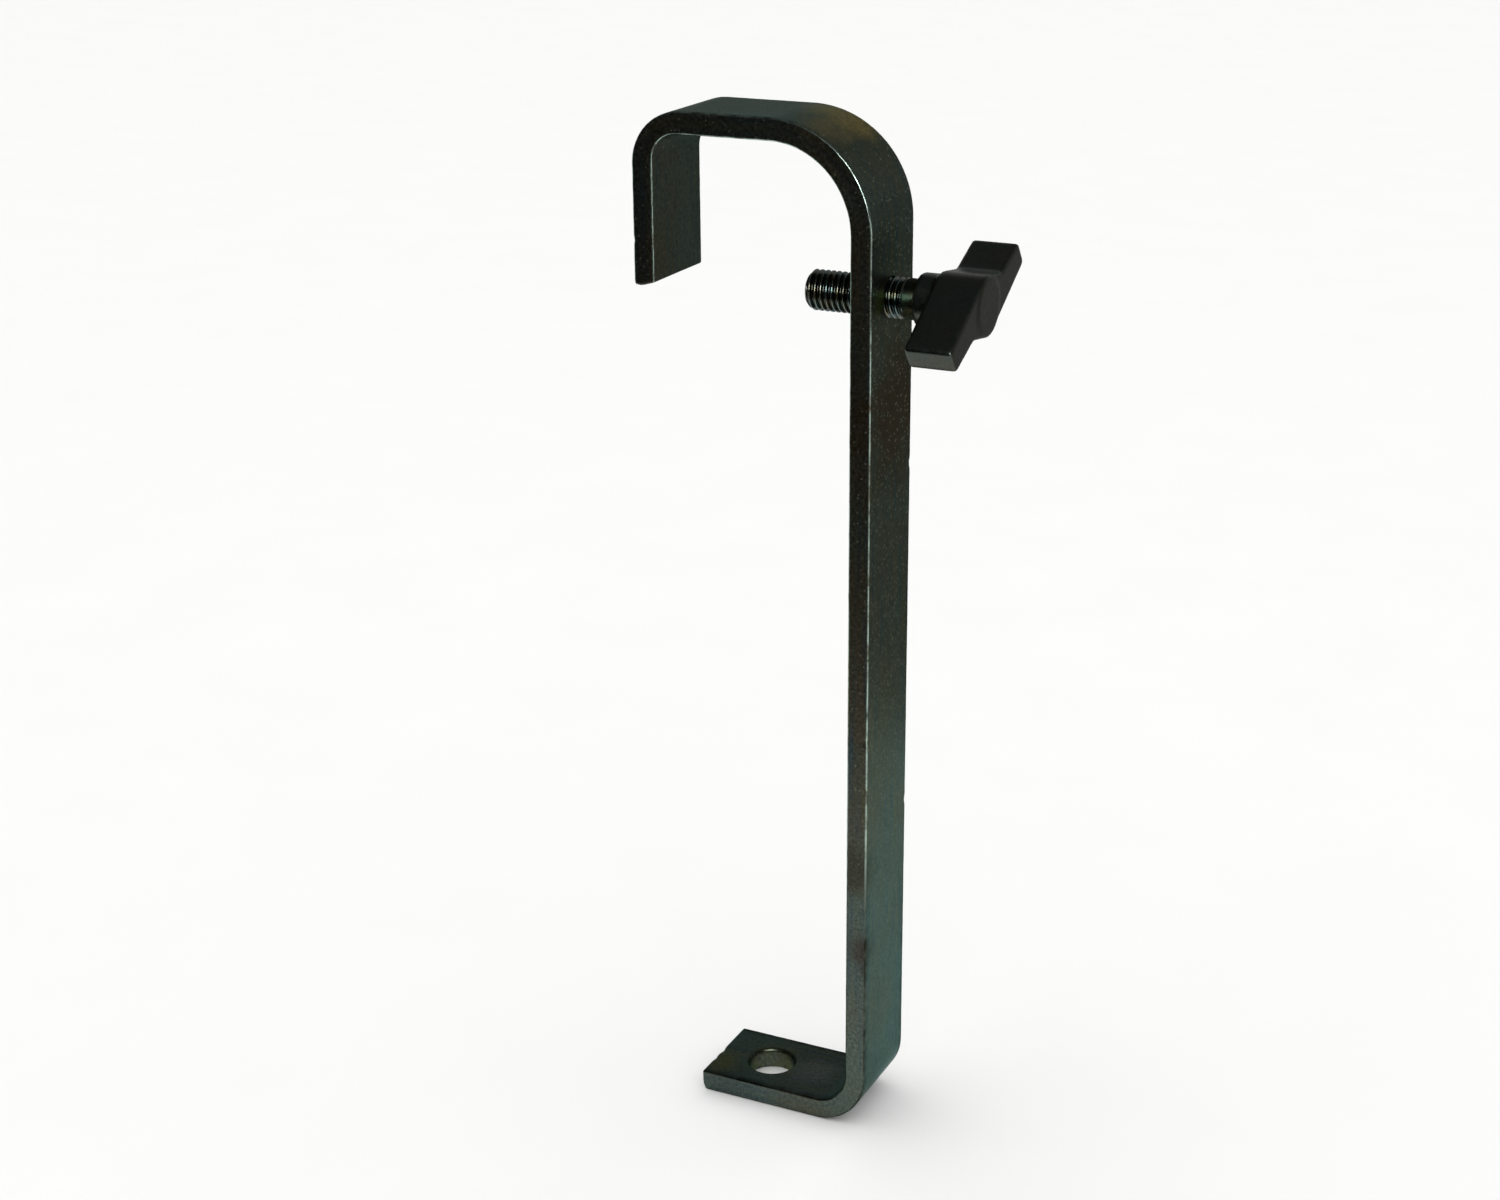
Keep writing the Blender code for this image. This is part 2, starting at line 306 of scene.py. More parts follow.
def add_ring(ring):
    """The ring's points as vertices that know where on the bar they are."""
    verts = []
    for point in ring:
        vert = bm.verts.new(point[:3])
        vert[bar_layer] = point[3:6]
        vert[arris_layer] = point[6]
        verts.append(vert)
    return verts


def skin(rows):
    """Quads between neighbouring rows of vertices."""
    for before, after in zip(rows, rows[1:]):
        for k in range(len(before)):
            bm.faces.new((before[k - 1], before[k], after[k], after[k - 1]))


rows = [add_ring(ring) for ring in rings]
skin(rows)
bm.faces.new(rows[0])
bm.faces.new(rows[-1])

# Holes in the bar: the fixing hole is punched from the foot's top, which draws its rim down into a rounded
# lip. The screw's hole is drilled and tapped, with its edges just broken.
FIXING_HOLE_RADIUS = 7.3 * MM
FIXING_HOLE_FROM_BAR_FACE = 38.7 * MM
FIXING_LIPS = (1.0 * MM, 0.3 * MM)  # inner face of the bar, outer face
PATCH_REACH = 12.5 * MM
PATCH_MARGIN = 3
TAPPED_HOLE_RADIUS = 5.95 * MM
TAPPED_LIPS = (0.25 * MM, 0.25 * MM)
LIP_STEPS = 5
LIP_WEAR = 0.6
WALL_STEPS = 8
SPREAD_STEPS = 6

outer_first = ARRIS_STEPS
inner_first = 3 * ARRIS_STEPS + ACROSS_STEPS + EDGE_STEPS
outer_row = [outer_first + k for k in range(ACROSS_STEPS + 1)][::-1]
inner_row = [inner_first + k for k in range(ACROSS_STEPS + 1)]


def hoop_profile(radius, lip):
    """The hoops from the bar's grid to the hole's wall: (share of the way, radius, depth sunk, wear)."""
    hoops = [((k / SPREAD_STEPS) ** 0.8, radius + lip, 0.0, 0.0) for k in range(1, SPREAD_STEPS + 1)]
    for k in range(1, LIP_STEPS + 1):
        angle = math.pi / 2 * k / LIP_STEPS
        wear_and_highlight = LIP_WEAR * math.sin(math.pi * k / LIP_STEPS)
        hoops.append((1.0, radius + lip * (1 - math.sin(angle)), lip * (1 - math.cos(angle)), wear_and_highlight))
    return hoops


def open_hole(centre, axis, radius, lips):
    """Cuts a round hole through both broad faces, with quads that spread from it to the bar's own grid."""
    centre = np.array(centre)
    run_axis = 2 - axis
    start, stop = PATCH_MARGIN, ACROSS_STEPS - PATCH_MARGIN
    near = []
    for station, row in enumerate(rows):
        away = np.abs(np.array(row[outer_row[0]].co) - centre)
        if away[run_axis] < PATCH_REACH and away[axis] < BAR_THICKNESS:
            near.append(station)
    low_row, high_row = near[0], near[-1]
    loop = [(low_row, k) for k in range(start, stop)]
    loop += [(s, stop) for s in range(low_row, high_row)]
    loop += [(high_row, k) for k in range(stop, start, -1)]
    loop += [(s, start) for s in range(high_row, low_row, -1)]
    loop_inside = range(start + 1, stop)
    edges, chains = [], []
    for face_row, lip in ((inner_row, lips[0]), (outer_row, lips[1])):
        edge = [rows[s][face_row[k]] for s, k in loop]
        inside = [rows[s][face_row[k]] for s in range(low_row + 1, high_row) for k in loop_inside]
        bmesh.ops.delete(bm, geom=inside, context="VERTS")
        surface = edge[0].co[axis]
        through = math.copysign(1, centre[axis] - surface)
        chain = []
        for share, hoop_radius, sunk, wear_and_highlight in hoop_profile(radius, lip):
            hoop = []
            for vert in edge:
                spot = np.array(vert.co)
                away = spot - centre
                away[axis] = 0
                target = centre + away / np.linalg.norm(away) * hoop_radius
                target[axis] = surface + through * sunk
                move = (target - spot) * share
                bar_spot = np.array(vert[bar_layer]) + (-move[run_axis], move[1], sunk)
                hoop.append(np.array((*(spot + move), *bar_spot, wear_and_highlight)))
            chain.append(hoop)
        edges.append(edge)
        chains.append(chain)
    shares = [k / WALL_STEPS for k in range(1, WALL_STEPS)]
    wall = [[a + (b - a) * share for a, b in zip(chains[0][-1], chains[1][-1])] for share in shares]
    hoops = chains[0] + wall + chains[1][::-1]
    skin([edges[0], *(add_ring(hoop) for hoop in hoops), edges[1]])


foot_middle = bar_low.z + BAR_THICKNESS / 2
open_hole((bar_high.x - FIXING_HOLE_FROM_BAR_FACE, 0, foot_middle), 2, FIXING_HOLE_RADIUS, FIXING_LIPS)
open_hole((bar_high.x - BAR_THICKNESS / 2, 0, screw_z), 0, TAPPED_HOLE_RADIUS, TAPPED_LIPS)

# Knocks on the bar: dents along the arrises from the shears, the press and use, and a chip out of the
# foot's sheared end. The sheared ends are drawn round, and the arrises wander by a few hundredths.
KNOCKS = (  # place, reach, depth
    ((bar_high.x - FOOT_LENGTH, -0.5 * MM, bar_low.z + BAR_THICKNESS), 2.2 * MM, 0.5 * MM),
    ((bar_high.x - FOOT_LENGTH, -6.0 * MM, bar_low.z + BAR_THICKNESS), 1.6 * MM, 0.35 * MM),
    ((22.1 * MM, bar_low.y, bar_low.z + 3.3 * MM), 1.3 * MM, 0.4 * MM),
    ((4.3 * MM, bar_low.y, bar_low.z + 2.2 * MM), 0.9 * MM, 0.25 * MM),
    ((bar_high.x, bar_low.y, -173.8 * MM), 1.2 * MM, 0.35 * MM),
    ((bar_high.x, bar_low.y, -229.0 * MM), 2.0 * MM, 0.3 * MM),
    ((bar_high.x, bar_low.y, -248.0 * MM), 1.6 * MM, 0.35 * MM),
    ((bar_high.x, bar_low.y, -262.0 * MM), 1.1 * MM, 0.3 * MM),
    ((bar_high.x, bar_high.y, -96.0 * MM), 1.8 * MM, 0.35 * MM),
    ((bar_high.x, bar_high.y, -204.0 * MM), 1.4 * MM, 0.4 * MM),
    ((bar_low.x, bar_low.y, -31.0 * MM), 1.3 * MM, 0.3 * MM),
    ((bar_low.x, bar_high.y, -22.0 * MM), 1.5 * MM, 0.35 * MM),
)
KNOCK_GRAIN = 0.9 * MM
ARRIS_WANDER = 0.05 * MM
WANDER_SIZE = 3.5 * MM
FACE_WANDER = 0.02 * MM
FACE_WANDER_SIZE = 14 * MM
bm.normal_update()
for vert in bm.verts:
    along, _, depth = vert[bar_layer]
    outward = depth / BAR_THICKNESS
    ends = ((along, (0, 0, 1), NOSE_LEAN), (reach[-1] - along, (1, 0, 0), 0))
    for from_end, inward, lean in ends:
        fade = max(1 - from_end / SHEAR_DRAW_REACH, 0.0)
        vert.co += Vector(inward) * (SHEAR_DRAW * outward**6 - lean * outward) * fade**2
    spot = vert.co.copy()
    sink = FACE_WANDER * noise.noise(spot / FACE_WANDER_SIZE)
    sink += ARRIS_WANDER * vert[arris_layer] * noise.noise(spot / WANDER_SIZE)
    for centre, knock_reach, deep in KNOCKS:
        far = (spot - Vector(centre)).length / knock_reach
        if far < 2:
            ragged = 1 + 0.5 * noise.noise(spot / KNOCK_GRAIN)
            sink -= deep * ragged * math.exp(-2.5 * far * far)
    vert.co += vert.normal * sink

# Zinc plated and passivated hot rolled steel: a dark satin metal, olive and blue-green in clouds, with the
# rolled skin's streaks along the bar, a crystalline grain and bright flecks. Towards the foot it is painted
# lighter and bluer, a painted reflection of the white floor, and its upper arrises are painted bright,
# partly wear and partly a painted highlight.
strap_finish, tree, shader = finish("zinc_plated_flat_bar")
bar_place = node(tree, "ShaderNodeAttribute", {}, attribute_name="bar").outputs["Vector"]
arris_mark = node(tree, "ShaderNodeAttribute", {}, attribute_name="arris").outputs["Fac"]
place = node(tree, "ShaderNodeTexCoord", {}).outputs["Object"]
height = node(tree, "ShaderNodeSeparateXYZ", {"Vector": place}).outputs["Z"]

clouds = node(tree, "ShaderNodeTexNoise", {"Vector": place, "Scale": 1 / (38 * MM), "Detail": 3.0})
cloud_share = node(
    tree,
    "ShaderNodeMapRange",
    {"Value": clouds, "From Min": 0.36, "From Max": 0.64, "To Min": -0.3, "To Max": 0.4},
)
# Lighter and bluer towards the foot: a painted reflection of the white floor.
painted_floor_reflection = node(
    tree,
    "ShaderNodeMapRange",
    {"Value": height, "From Min": -150 * MM, "From Max": -275 * MM, "To Max": 0.65},
)
cool_share = node(tree, "ShaderNodeMath", {0: painted_floor_reflection, 1: cloud_share}, operation="ADD")
colour = node(
    tree, "ShaderNodeMix", {0: cool_share, 6: linear("#545142"), 7: linear("#4b5b56")}, data_type="RGBA"
)
stretched = node(
    tree, "ShaderNodeVectorMath", {0: bar_place, 1: (0.045, 1.0, 1.0)}, operation="MULTIPLY"
)
streaks = node(tree, "ShaderNodeTexNoise", {"Vector": stretched, "Scale": 1 / (1.6 * MM), "Detail": 4.0})
blue_share = node(
    tree, "ShaderNodeMapRange", {"Value": streaks, "From Min": 0.48, "From Max": 0.72, "To Max": 0.7}
)
colour = node(tree, "ShaderNodeMix", {0: blue_share, 6: colour, 7: linear("#3b4a52")}, data_type="RGBA")

STAINS_AND_HIGHLIGHTS = (  # place, reach, tint, strength
    ((42.0 * MM, bar_low.y, -216 * MM), 11 * MM, "#3f4036", 0.9),
    ((bar_high.x, bar_low.y, -243 * MM), 8 * MM, "#3a3128", 0.7),
    # The next two, golden and brown on the hook's bend, are a painted highlight, not stains.
    ((27.0 * MM, 9.0 * MM, 6.0 * MM), 15 * MM, "#a08a52", 0.85),
    ((28.0 * MM, -7.0 * MM, 5.0 * MM), 10 * MM, "#86724e", 0.8),
    ((-4.0 * MM, 0, bar_high.z), 17 * MM, "#4d4836", 0.8),
    ((bar_high.x, 4.0 * MM, -78 * MM), 28 * MM, "#4d3826", 0.9),
    ((bar_high.x, -9.0 * MM, screw_z), 4.5 * MM, "#66703c", 0.8),
    ((-4.0 * MM, bar_low.y, bar_low.z + 3 * MM), 16 * MM, "#3f4643", 0.6),
    ((-8.0 * MM, -6.0 * MM, bar_low.z + BAR_THICKNESS), 9 * MM, "#64633c", 0.6),
    ((bar_high.x - FIXING_HOLE_FROM_BAR_FACE, 0, bar_low.z + 3 * MM), 11 * MM, "#65663f", 0.8),
    ((22.0 * MM, 0, bar_low.z + BAR_THICKNESS), 10 * MM, "#666c69", 0.7),
)
ragged = node(tree, "ShaderNodeTexNoise", {"Vector": place, "Scale": 1 / (7 * MM), "Detail": 4.0})
for centre, patch_reach, tint, strength in STAINS_AND_HIGHLIGHTS:
    away = node(tree, "ShaderNodeVectorMath", {0: place, 1: centre}, operation="DISTANCE").outputs["Value"]
    away = node(tree, "ShaderNodeMath", {0: ragged, 1: patch_reach, 2: away}, operation="MULTIPLY_ADD")
    full, gone = patch_reach * 0.7, patch_reach * 1.6
    share = node(
        tree,
        "ShaderNodeMapRange",
        {"Value": away, "From Min": full, "From Max": gone, "To Min": strength, "To Max": 0},
        interpolation_type="SMOOTHSTEP",
    )
    colour = node(tree, "ShaderNodeMix", {0: share, 6: colour, 7: linear(tint)}, data_type="RGBA")

# The plating's crystals are under 0.1 mm, too fine to show, so the grain is drawn at 1 mm.
grain = node(
    tree, "ShaderNodeTexNoise", {"Vector": place, "Scale": 1 / (1.0 * MM), "Detail": 4.0, "Roughness": 0.65}
)
grain_tone = node(
    tree,
    "ShaderNodeMapRange",
    {"Value": grain, "From Min": 0.3, "From Max": 0.7, "To Min": 0.6, "To Max": 1.45},
)
colour = node(
    tree, "ShaderNodeMix", {0: 1.0, 6: colour, 7: grain_tone}, data_type="RGBA", blend_type="MULTIPLY"
)
flecks = node(tree, "ShaderNodeTexVoronoi", {"Vector": place, "Scale": 1 / (1.2 * MM)})
fleck_draw = node(tree, "ShaderNodeSeparateColor", {"Color": flecks.outputs["Color"]}).outputs["Red"]
fleck_chosen = node(tree, "ShaderNodeMath", {0: fleck_draw, 1: 0.78}, operation="GREATER_THAN")
fleck_core = node(
    tree,
    "ShaderNodeMapRange",
    {"Value": flecks.outputs["Distance"], "From Min": 0.1, "From Max": 0.34, "To Min": 0.75, "To Max": 0.0},
)
fleck_share = node(tree, "ShaderNodeMath", {0: fleck_chosen, 1: fleck_core}, operation="MULTIPLY")
fleck_above = node(
    tree,
    "ShaderNodeMapRange",
    {"Value": height, "From Min": -230 * MM, "From Max": -90 * MM, "To Min": 0.15},
)
fleck_share = node(tree, "ShaderNodeMath", {0: fleck_share, 1: fleck_above}, operation="MULTIPLY")
colour = node(tree, "ShaderNodeMix", {0: fleck_share, 6: colour, 7: linear("#a3a892")}, data_type="RGBA")

# The upper arrises are painted bright in patches, partly wear and partly a painted highlight.
arris_patches = node(tree, "ShaderNodeTexNoise", {"Vector": place, "Scale": 1 / (4 * MM), "Detail": 4.0})
arris_patches = node(
    tree,
    "ShaderNodeMapRange",
    {"Value": arris_patches, "From Min": 0.36, "From Max": 0.58, "To Min": 0.1, "To Max": 1.0},
)
arris_share = node(tree, "ShaderNodeMath", {0: arris_mark, 1: arris_patches}, operation="MULTIPLY")
highlight_above = node(
    tree, "ShaderNodeMapRange", {"Value": height, "From Min": -240 * MM, "From Max": -205 * MM}
)
wear_and_highlight = node(tree, "ShaderNodeMath", {0: arris_share, 1: highlight_above}, operation="MULTIPLY")
colour = node(tree, "ShaderNodeMix", {0: wear_and_highlight, 6: colour, 7: linear("#a2b6ab")}, data_type="RGBA")

# Low on the bar the arrises, and a strip beside them on the broad faces, are painted near-black instead.
low_dark_edges = node(tree, "ShaderNodeMath", {0: arris_share, 1: wear_and_highlight}, operation="SUBTRACT")
across = node(tree, "ShaderNodeSeparateXYZ", {"Vector": bar_place}).outputs["Y"]
across = node(tree, "ShaderNodeMath", {0: across}, operation="ABSOLUTE")
strip_start, strip_full, strip_fade = (bar_high.y - inset * MM for inset in (3.0, 0.8, 0.5))
beside = node(
    tree,
    "ShaderNodeMapRange",
    {"Value": across, "From Min": strip_start, "From Max": strip_full, "To Max": 0.75},
)
beside_end = node(
    tree,
    "ShaderNodeMapRange",
    {"Value": across, "From Min": strip_fade, "From Max": bar_high.y, "To Min": 1, "To Max": 0},
)
beside = node(tree, "ShaderNodeMath", {0: beside, 1: beside_end}, operation="MULTIPLY")
beside = node(tree, "ShaderNodeMath", {0: beside, 1: arris_patches}, operation="MULTIPLY")
low_share = node(tree, "ShaderNodeMath", {0: 1.0, 1: highlight_above}, operation="SUBTRACT")
beside = node(tree, "ShaderNodeMath", {0: beside, 1: low_share}, operation="MULTIPLY")
low_dark_edges = node(tree, "ShaderNodeMath", {0: low_dark_edges, 1: beside}, operation="MAXIMUM")
colour = node(tree, "ShaderNodeMix", {0: low_dark_edges, 6: colour, 7: linear("#211f1a")}, data_type="RGBA")
tree.links.new(colour.outputs[2], shader.inputs["Base Color"])
shader.inputs["Metallic"].default_value = 1.0
shader.inputs["Specular Tint"].default_value = linear("#b8ccc9")
gloss = node(
    tree,
    "ShaderNodeMapRange",
    {"Value": grain, "From Min": 0.3, "From Max": 0.7, "To Min": 0.3, "To Max": 0.4},
)
gloss = node(tree, "ShaderNodeMath", {0: wear_and_highlight, 1: -0.17, 2: gloss}, operation="MULTIPLY_ADD")
tree.links.new(gloss.outputs[0], shader.inputs["Roughness"])
bump = node(tree, "ShaderNodeBump", {"Strength": 0.6, "Distance": 0.04 * MM, "Height": grain})
streaked = {"Strength": 0.35, "Distance": 0.02 * MM, "Height": streaks, "Normal": bump}
bump = node(tree, "ShaderNodeBump", streaked)
tree.links.new(bump.outputs[0], shader.inputs["Normal"])

strap = mesh_object("bent_flat_bar", bm, strap_finish)
strap.data.set_sharp_from_angle(angle=math.radians(50))
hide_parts("hook_strap")
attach(strap, "strap")

# Clamp screw: an M12 screw with a rolled 60 degree thread, a chamfered point that bears on the tube, and a
# plain shank cast into the wing head.
LEAD = 1.75 * MM
CREST_RADIUS = (screw_high.z - screw_low.z) / 2
ROOT_RADIUS = 5.0 * MM
CREST_SHARE = 0.08
ROOT_SHARE = 0.14
POINT_CHAMFER = 1.3 * MM
POINT_RIM = 0.5 * MM
POINT_DISH = (0.12 * MM, 0.25 * MM)  # how deep, part of the way in and in the middle
POINT_PIP = 0.6 * MM
END_EASE = 0.4 * MM
MERGE_GAP = 0.002 * MM
THREAD_PAST_BAR = 5.3 * MM
THREAD_LENGTH = bar_high.x + THREAD_PAST_BAR - screw_low.x
RUN_OUT = 1.6 * MM
TURN_STEPS = 96
LEAD_STEPS = 20


def thread_radius(x, share):
    """The screw's radius at x from its point, for a share of one lead from the crest's middle."""
    flank = abs(2 * (share % 1.0) - 1)
    rise = min(max((flank - CREST_SHARE) / (1 - CREST_SHARE - ROOT_SHARE), 0.0), 1.0)
    rise = rise * rise * (3 - 2 * rise)
    run = min(max((x - THREAD_LENGTH + RUN_OUT) / RUN_OUT, 0.0), 1.0)
    radius = CREST_RADIUS - (CREST_RADIUS - ROOT_RADIUS) * rise * (1 - run)
    return min(radius, CREST_RADIUS - POINT_CHAMFER + x)


bm = bmesh.new()
row_count = math.ceil(THREAD_LENGTH / LEAD) * LEAD_STEPS + LEAD_STEPS
columns = []
for column in range(TURN_STEPS):
    turn = column / TURN_STEPS
    angle = turn * math.tau
    verts = []
    for row in range(row_count + LEAD_STEPS + 1):
        x = min(max(LEAD * (turn - 1 + row / LEAD_STEPS), 0.0), THREAD_LENGTH)
        radius = thread_radius(x, row / LEAD_STEPS)
        spot = (screw_low.x + x, radius * math.cos(angle), screw_z + radius * math.sin(angle))
        verts.append(bm.verts.new(spot))
    columns.append(verts)
for column in range(TURN_STEPS):
    here, beside = columns[column], columns[(column + 1) % TURN_STEPS]
    ahead = LEAD_STEPS if column == TURN_STEPS - 1 else 0
    for row in range(row_count):
        bm.faces.new((here[row], beside[row + ahead], beside[row + ahead + 1], here[row + 1]))
bmesh.ops.remove_doubles(bm, verts=bm.verts, dist=MERGE_GAP)
bmesh.ops.delete(bm, geom=[vert for vert in bm.verts if not vert.link_faces], context="VERTS")


def open_loop(beyond):
    """The vertices of the screw's open loop on this side of x, in order round the axis."""
    loop = {vert for edge in bm.edges if edge.is_boundary for vert in edge.verts if beyond(vert.co.x)}
    return sorted(loop, key=lambda vert: math.atan2(vert.co.z - screw_z, vert.co.y))


def turn_on(loop, steps):
    """Carries an open loop on through (x, radius) steps and closes it with a face."""
    rows = [loop]
    for x, radius in steps:
        row = []
        for vert in loop:
            across = Vector((0, vert.co.y, vert.co.z - screw_z)).normalized() * radius
            row.append(bm.verts.new((x, across.y, screw_z + across.z)))
        rows.append(row)
    skin(rows)
    bm.faces.new(rows[-1])


middle = screw_low.x + THREAD_LENGTH / 2
shank = open_loop(lambda x: x > middle)
point = open_loop(lambda x: x < middle)
start, end = screw_low.x, screw_high.x
turn_on(shank, [(end - END_EASE, CREST_RADIUS), (end, CREST_RADIUS - END_EASE)])
flat = CREST_RADIUS - POINT_CHAMFER
dish = [
    (start, flat - POINT_RIM),
    (start + POINT_DISH[0], flat * 0.6),
    (start + POINT_DISH[1], POINT_PIP),
]
turn_on(point, dish)

# Bright zinc over smooth rolled steel: a mirror-like skin with a faint warm and cool film, and the thread's
# roots painted dark as shade, so that only the crests catch the light.
screw_finish, tree, shader = finish("bright_zinc_plated_screw_steel")
place = node(tree, "ShaderNodeTexCoord", {}).outputs["Object"]
film = node(tree, "ShaderNodeTexNoise", {"Vector": place, "Scale": 1 / (3.5 * MM), "Detail": 2.0})
warm = node(tree, "ShaderNodeMapRange", {"Value": film, "From Min": 0.5, "From Max": 0.66})
cool = node(tree, "ShaderNodeMapRange", {"Value": film, "From Min": 0.5, "From Max": 0.34})
zinc, warm_film = linear("#687169"), linear("#6f6b58")
colour = node(tree, "ShaderNodeMix", {0: warm, 6: zinc, 7: warm_film}, data_type="RGBA")
colour = node(tree, "ShaderNodeMix", {0: cool, 6: colour, 7: linear("#5b7476")}, data_type="RGBA")
dust = node(tree, "ShaderNodeTexNoise", {"Vector": place, "Scale": 1 / (1.1 * MM), "Detail": 4.0})
dull = node(
    tree,
    "ShaderNodeMapRange",
    {"Value": dust, "From Min": 0.35, "From Max": 0.7, "To Min": 0.12, "To Max": 0.24},
)
# The thread's roots are painted near-black: painted shade in the recesses.
from_axis = node(tree, "ShaderNodeVectorMath", {0: place, 1: (0, 0, screw_z)}, operation="SUBTRACT")
from_axis = node(tree, "ShaderNodeVectorMath", {0: from_axis, 1: (0, 1, 1)}, operation="MULTIPLY")
from_axis = node(tree, "ShaderNodeVectorMath", {0: from_axis}, operation="LENGTH").outputs["Value"]
full, gone = ROOT_RADIUS + 0.35 * MM, CREST_RADIUS - 0.12 * MM
painted_root_shade = node(
    tree,
    "ShaderNodeMapRange",
    {"Value": from_axis, "From Min": full, "From Max": gone, "To Min": 0.8, "To Max": 0.0},
)
colour = node(tree, "ShaderNodeMix", {0: painted_root_shade, 6: colour, 7: linear("#252925")}, data_type="RGBA")
tree.links.new(colour.outputs[2], shader.inputs["Base Color"])
shader.inputs["Metallic"].default_value = 1.0
tree.links.new(dull.outputs[0], shader.inputs["Roughness"])
rolled = node(tree, "ShaderNodeBump", {"Strength": 0.12, "Distance": 0.01 * MM, "Height": dust})
tree.links.new(rolled.outputs[0], shader.inputs["Normal"])

screw = mesh_object("threaded_screw", bm, screw_finish)
screw.data.set_sharp_from_angle(angle=math.radians(38))
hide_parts("clamp_screw")
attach(screw, "wing")

# Wing head: a casting poured round the screw's shank, with a collar, a hub and two offset arms. Its edges
# are cast round, its roots filleted, and a low round boss marks the gate on the outer face.
head_low, head_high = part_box("wing_head")
COLLAR_RADIUS = 7.8 * MM
COLLAR_LENGTH = 6.1 * MM
SOCKET_RADIUS = 5.9 * MM
SOCKET_DEPTH = 1.2 * MM
ARM_DEPTH = 14.0 * MM
BOSS_RADIUS = 8.2 * MM
HUB_RADIUS = 8.8 * MM
HUB_SIDE_ANGLE = math.radians(30)
ARM_RISE = math.radians(10.2)
ARM_TIP_LONG = (28.4 * MM, 4.0 * MM)
ARM_TIP_SHORT = (26.5 * MM, 3.8 * MM)
ARM_ROOT_HEIGHT = 3.1 * MM
ARM_ROOT_RADIUS = 4.0 * MM
TIP_CORNER = 1.3 * MM
WING_TILT = math.radians(22.3)
CAST_GRID = 0.32 * MM
CAST_SOFTENING = 36
CORE_OVERLAP = 2 * MM
CIRCLE_STEPS = 72

# Plated zinc alloy, die cast: a smooth near-black satin with a fine orange peel. Its edges are painted
# lighter and bluish, partly wear and partly a painted highlight. The outer face is painted browner and
# darker as shade, and is duller than the rest.
head_finish, tree, shader = finish("plated_casting")
place = node(tree, "ShaderNodeTexCoord", {}).outputs["Object"]
clouds = node(tree, "ShaderNodeTexNoise", {"Vector": place, "Scale": 1 / (12 * MM), "Detail": 3.0})
share = node(tree, "ShaderNodeMapRange", {"Value": clouds, "From Min": 0.36, "From Max": 0.64})
cool_plate, warm_plate = linear("#434d48"), linear("#4d4e46")
colour = node(tree, "ShaderNodeMix", {0: share, 6: cool_plate, 7: warm_plate}, data_type="RGBA")
# The faces turned to +X are painted darker and browner: painted shade by which way a face turns.
facing = node(tree, "ShaderNodeTexCoord", {}).outputs["Normal"]
facing = node(tree, "ShaderNodeSeparateXYZ", {"Vector": facing}).outputs["X"]
shaded_outer_face = node(
    tree, "ShaderNodeMapRange", {"Value": facing, "From Min": 0.6, "From Max": 0.95, "To Max": 0.9}
)
colour = node(tree, "ShaderNodeMix", {0: shaded_outer_face, 6: colour, 7: linear("#36352e")}, data_type="RGBA")
# Sharp edges are painted lighter and bluish: partly wear, partly a painted highlight.
edge = node(tree, "ShaderNodeNewGeometry", {}).outputs["Pointiness"]
edge_wear_and_highlight = node(
    tree, "ShaderNodeMapRange", {"Value": edge, "From Min": 0.53, "From Max": 0.62, "To Max": 0.6}
)
colour = node(tree, "ShaderNodeMix", {0: edge_wear_and_highlight, 6: colour, 7: linear("#5f6a78")}, data_type="RGBA")
tree.links.new(colour.outputs[2], shader.inputs["Base Color"])
shader.inputs["Metallic"].default_value = 1.0
peel = node(tree, "ShaderNodeTexNoise", {"Vector": place, "Scale": 1 / (1.4 * MM), "Detail": 3.0})
dull = node(
    tree,
    "ShaderNodeMapRange",
    {"Value": peel, "From Min": 0.3, "From Max": 0.7, "To Min": 0.25, "To Max": 0.36},
)
dull = node(tree, "ShaderNodeMath", {0: shaded_outer_face, 1: 0.12, 2: dull}, operation="MULTIPLY_ADD")
tree.links.new(dull.outputs[0], shader.inputs["Roughness"])
skin_bump = node(tree, "ShaderNodeBump", {"Strength": 0.4, "Distance": 0.03 * MM, "Height": peel})
tree.links.new(skin_bump.outputs[0], shader.inputs["Normal"])


def rounded_outline(corners, step):
    """A closed outline through (x, y, radius) corners, with each corner turned into an arc."""
    points = []
    for index, (x, y, radius) in enumerate(corners):
        here = Vector((x, y))
        before = (Vector(corners[index - 1][:2]) - here).normalized()
        after = (Vector(corners[(index + 1) % len(corners)][:2]) - here).normalized()
        half = before.angle(after) / 2
        centre = here + (before + after).normalized() * radius / math.sin(half)
        first = here + before * radius / math.tan(half) - centre
        swing = first.angle_signed(here + after * radius / math.tan(half) - centre)
        count = max(2, math.ceil(abs(swing) / step))
        points += [centre + Matrix.Rotation(-swing * k / count, 2) @ first for k in range(count + 1)]
    return points


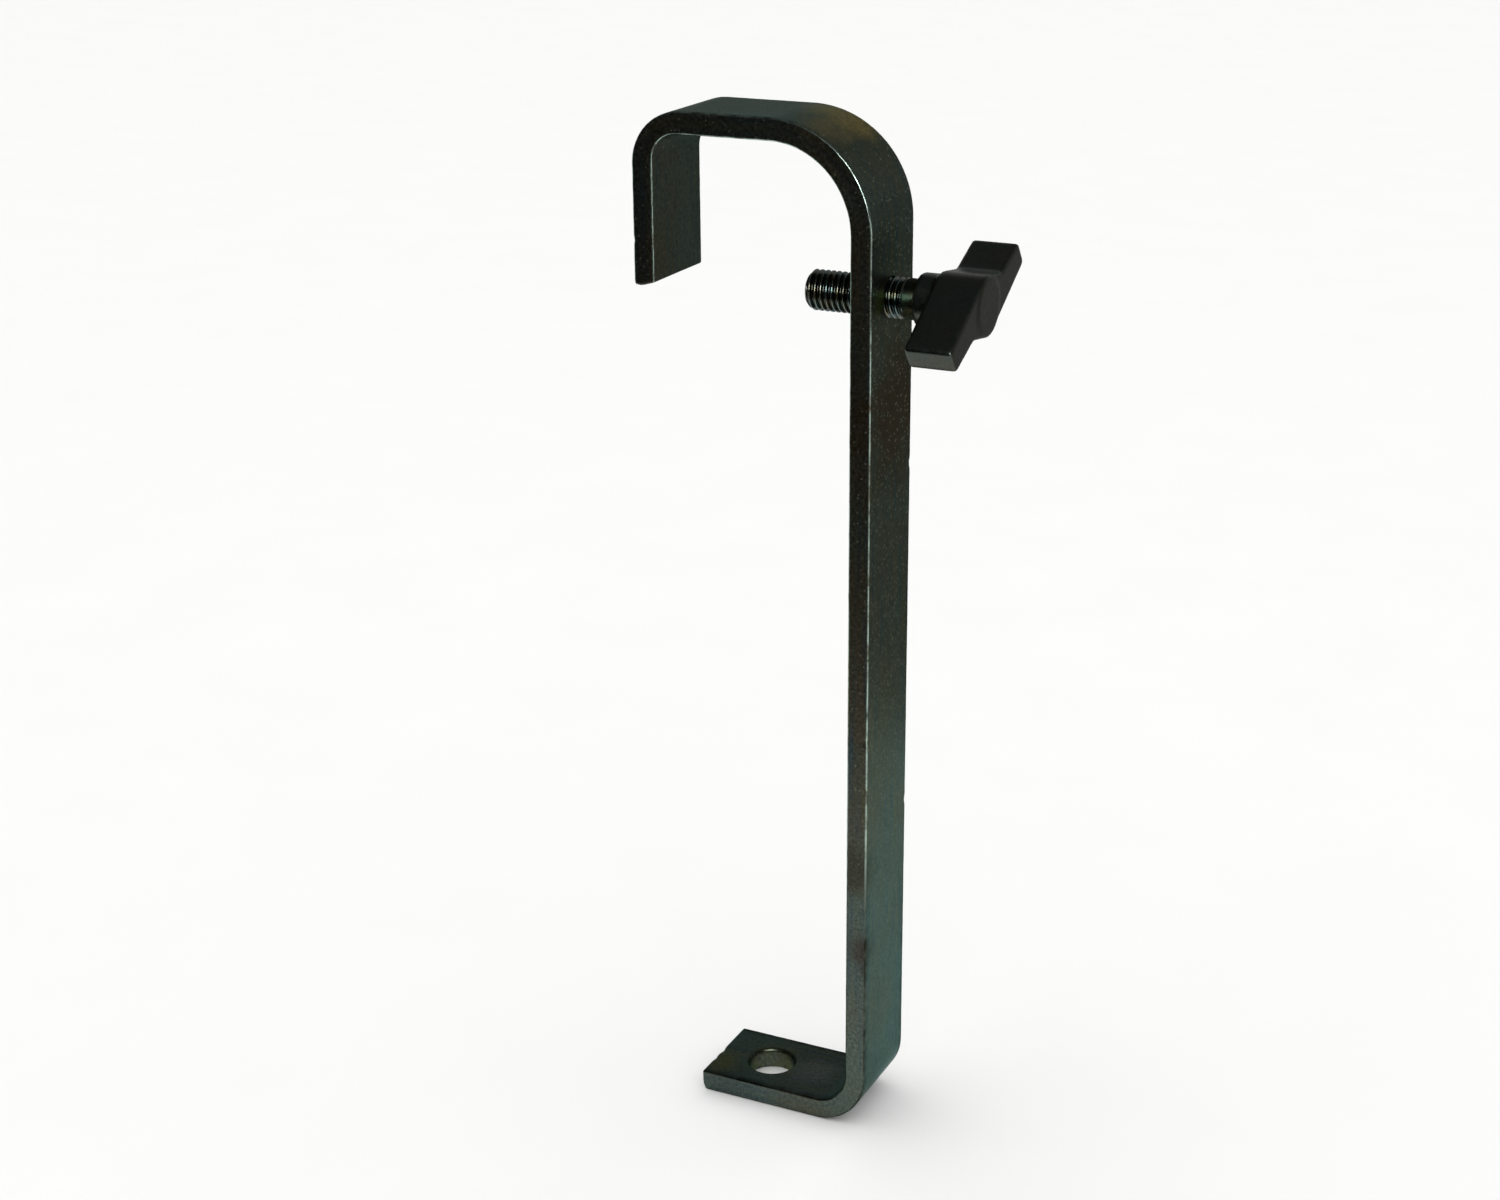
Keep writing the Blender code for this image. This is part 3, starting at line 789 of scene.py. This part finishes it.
def wing_outline():
    """The wing seen along the screw: an arm and its side of the hub, twice, half a turn apart."""
    rise = Vector((math.cos(ARM_RISE), math.sin(ARM_RISE)))
    tip = Vector((-ARM_TIP_LONG[0], ARM_TIP_LONG[1]))
    side = Vector((math.cos(HUB_SIDE_ANGLE), -math.sin(HUB_SIDE_ANGLE)))
    touch = Vector((math.sin(HUB_SIDE_ANGLE), math.cos(HUB_SIDE_ANGLE))) * HUB_RADIUS
    gap = touch - tip
    crest = tip + rise * (gap.x * side.y - gap.y * side.x) / (rise.x * side.y - rise.y * side.x)
    root = touch + side * (touch.y - ARM_ROOT_HEIGHT) / math.sin(HUB_SIDE_ANGLE)
    half = [
        (tip.x, tip.y, TIP_CORNER),
        (crest.x, crest.y, HUB_RADIUS),
        (root.x, root.y, ARM_ROOT_RADIUS),
        (ARM_TIP_SHORT[0], ARM_TIP_SHORT[1], TIP_CORNER),
    ]
    return rounded_outline(half + [(-x, -y, radius) for x, y, radius in half], math.radians(5))


def add_block(sections):
    """A closed block through sections, each a list of points with the same count."""
    rows = [[bm.verts.new(point) for point in section] for section in sections]
    skin(rows)
    bm.faces.new(rows[0])
    bm.faces.new(rows[-1])


def circle(x, radius):
    """Points round the screw's axis."""
    turns = [math.tau * k / CIRCLE_STEPS for k in range(CIRCLE_STEPS)]
    return [(x, radius * math.cos(turn), screw_z + radius * math.sin(turn)) for turn in turns]


arms_start = head_low.x + COLLAR_LENGTH
arms_end = arms_start + ARM_DEPTH
tilt = Matrix.Rotation(WING_TILT, 2)
outline = [tilt @ point for point in wing_outline()]
bm = bmesh.new()
add_block([[(x, p.x, screw_z + p.y) for p in outline] for x in (arms_start, arms_end)])
pattern = mesh_object("wing_head_casting", bm, head_finish)
TURNED = (  # name, where it starts and ends, its radius, how it meets the pattern
    ("collar_pattern", head_low.x, arms_start + CORE_OVERLAP, COLLAR_RADIUS, "UNION"),
    ("boss_pattern", arms_end - CORE_OVERLAP, head_high.x, BOSS_RADIUS, "UNION"),
    ("socket_core", head_low.x - CORE_OVERLAP, head_low.x + SOCKET_DEPTH, SOCKET_RADIUS, "DIFFERENCE"),
)
tools = [pattern]
for name, tool_start, tool_end, radius, operation in TURNED:
    bm = bmesh.new()
    add_block([circle(tool_start, radius), circle(tool_end, radius)])
    tools.append(mesh_object(name, bm, head_finish))
    cut = pattern.modifiers.new(name, "BOOLEAN")
    cut.operation = operation
    cut.object = tools[-1]
remesh = pattern.modifiers.new("Casting grid", "REMESH")
remesh.mode = "VOXEL"
remesh.voxel_size = CAST_GRID
soften = pattern.modifiers.new("Cast radii", "SMOOTH")
soften.factor = 0.5
soften.iterations = CAST_SOFTENING
cast_mesh = bpy.data.meshes.new_from_object(pattern.evaluated_get(bpy.context.evaluated_depsgraph_get()))
for tool in tools:
    bpy.data.objects.remove(tool)
bm = bmesh.new()
bm.from_mesh(cast_mesh)

head = mesh_object("wing_casting", bm, head_finish)
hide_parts("wing_head")
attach(head, "wing")
